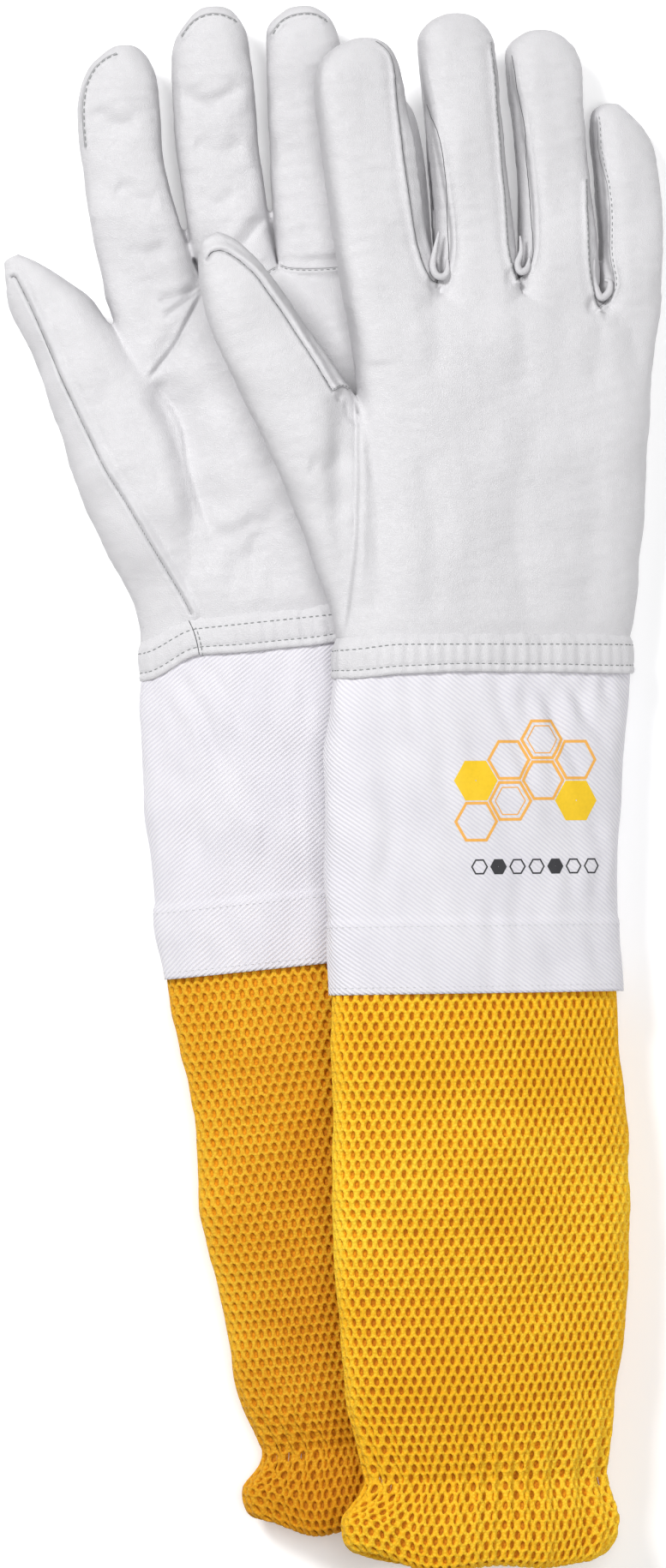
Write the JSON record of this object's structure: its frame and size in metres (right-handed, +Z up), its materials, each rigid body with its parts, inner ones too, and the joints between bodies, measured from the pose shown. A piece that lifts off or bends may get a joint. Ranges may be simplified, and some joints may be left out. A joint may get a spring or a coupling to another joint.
{
  "type": "pair of beekeeping gloves",
  "caption": "Long leather work gloves with a twill cuff and a ventilated mesh sleeve gathered by elastic, a right one lying on a left one.",
  "frame": {"origin": "Middle of the pair's footprint, on the surface the gloves lie on.", "axes": "+X from the left glove to the right glove, +Y from the sleeves to the fingertips, +Z up."},
  "size_m": [0.2152, 0.5078, 0.062],
  "materials": {
    "leather": "matte",
    "leather_gussets": "matte",
    "leather_hem": "matte",
    "twill": "matte",
    "spacer_mesh": "matte",
    "elastic": "matte"
  },
  "bodies": {
    "left_hand": {"left_hand_back": "leather", "left_hand_palm": "leather", "left_thumb_gusset": "leather_gussets", "left_web_index_middle": "leather_gussets", "left_web_middle_ring": "leather_gussets", "left_web_ring_little": "leather_gussets", "left_leather_hem": "leather_hem"},
    "left_thumb": {"left_thumb_back": "leather", "left_thumb_front": "leather"},
    "left_index": {"left_index_back": "leather", "left_index_front": "leather", "left_index_fourchette_to_middle": "leather_gussets"},
    "left_middle": {"left_middle_back": "leather", "left_middle_front": "leather", "left_middle_fourchette_to_index": "leather_gussets", "left_middle_fourchette_to_ring": "leather_gussets"},
    "left_ring": {"left_ring_back": "leather", "left_ring_front": "leather", "left_ring_fourchette_to_middle": "leather_gussets", "left_ring_fourchette_to_little": "leather_gussets"},
    "left_little": {"left_little_back": "leather", "left_little_front": "leather", "left_little_fourchette_to_ring": "leather_gussets"},
    "left_sleeve": {"left_twill_cuff": "twill", "left_twill_join_band": "twill", "left_mesh_sleeve": "spacer_mesh", "left_mesh_turned_end": "spacer_mesh", "left_elastic_band": "elastic"},
    "right_hand": {"right_hand_back": "leather", "right_hand_palm": "leather", "right_thumb_gusset": "leather_gussets", "right_web_index_middle": "leather_gussets", "right_web_middle_ring": "leather_gussets", "right_web_ring_little": "leather_gussets", "right_leather_hem": "leather_hem"},
    "right_thumb": {"right_thumb_back": "leather", "right_thumb_front": "leather"},
    "right_index": {"right_index_back": "leather", "right_index_front": "leather", "right_index_fourchette_to_middle": "leather_gussets"},
    "right_middle": {"right_middle_back": "leather", "right_middle_front": "leather", "right_middle_fourchette_to_index": "leather_gussets", "right_middle_fourchette_to_ring": "leather_gussets"},
    "right_ring": {"right_ring_back": "leather", "right_ring_front": "leather", "right_ring_fourchette_to_middle": "leather_gussets", "right_ring_fourchette_to_little": "leather_gussets"},
    "right_little": {"right_little_back": "leather", "right_little_front": "leather", "right_little_fourchette_to_ring": "leather_gussets"},
    "right_sleeve": {"right_twill_cuff": "twill", "right_twill_join_band": "twill", "right_mesh_sleeve": "spacer_mesh", "right_mesh_turned_end": "spacer_mesh", "right_elastic_band": "elastic"}
  },
  "joints": [
    {"name": "right_glove_lift", "type": "slide", "parent": "left_hand", "child": "right_hand", "axis": [0, 0, 1], "range_m": [0, 0.15]},
    {"name": "left_thumb_bend", "type": "hinge", "parent": "left_hand", "child": "left_thumb", "pos_m": [-0.07481, 0.11889, 0.0245], "axis": [0.8829, 0.4695, 0], "range_deg": [0, 40]},
    {"name": "left_index_bend", "type": "hinge", "parent": "left_hand", "child": "left_index", "pos_m": [-0.0527, 0.16395, 0.0217], "axis": [0.9945, 0.1045, 0], "range_deg": [0, 50]},
    {"name": "left_middle_bend", "type": "hinge", "parent": "left_hand", "child": "left_middle", "pos_m": [-0.02485, 0.16688, 0.0217], "axis": [0.9945, 0.1045, 0], "range_deg": [0, 50]},
    {"name": "left_ring_spread", "type": "hinge", "parent": "left_hand", "child": "left_ring", "pos_m": [-0.01121, 0.16816, 0.0125], "axis": [0, 0, 1], "range_deg": [0, 2.5]},
    {"name": "left_little_spread", "type": "hinge", "parent": "left_hand", "child": "left_little", "pos_m": [0.03591, 0.16758, 0.0125], "axis": [0, 0, -1], "range_deg": [0, 8]},
    {"name": "right_thumb_bend", "type": "hinge", "parent": "right_hand", "child": "right_thumb", "pos_m": [-0.0083, 0.11621, 0.0536], "axis": [0.85, 0.4598, -0.257], "range_deg": [0, 30]},
    {"name": "right_index_bend", "type": "hinge", "parent": "right_hand", "child": "right_index", "pos_m": [0.02389, 0.159, 0.04646], "axis": [0.9612, 0.0067, -0.2756], "range_deg": [0, 35]},
    {"name": "right_middle_bend", "type": "hinge", "parent": "right_hand", "child": "right_middle", "pos_m": [0.05081, 0.15919, 0.03874], "axis": [0.9612, 0.0067, -0.2756], "range_deg": [0, 35]},
    {"name": "right_ring_bend", "type": "hinge", "parent": "right_hand", "child": "right_ring", "pos_m": [0.07613, 0.15936, 0.03127], "axis": [0.9612, 0.0067, -0.2756], "range_deg": [0, 35]},
    {"name": "right_little_bend", "type": "hinge", "parent": "right_hand", "child": "right_little", "pos_m": [0.09896, 0.154, 0.02405], "axis": [0.9612, 0.0067, -0.2756], "range_deg": [0, 35]},
    {"name": "left_sleeve_swing", "type": "hinge", "parent": "left_hand", "child": "left_sleeve", "pos_m": [-0.05908, 0.03618, 0.0125], "axis": [0, 0, -1], "range_deg": [0, 10]},
    {"name": "right_sleeve_fold", "type": "hinge", "parent": "right_hand", "child": "right_sleeve", "pos_m": [0.05525, 0.0329, 0.04283], "axis": [-0.9612, -0.0067, 0.2756], "range_deg": [0, 60]}
  ]
}
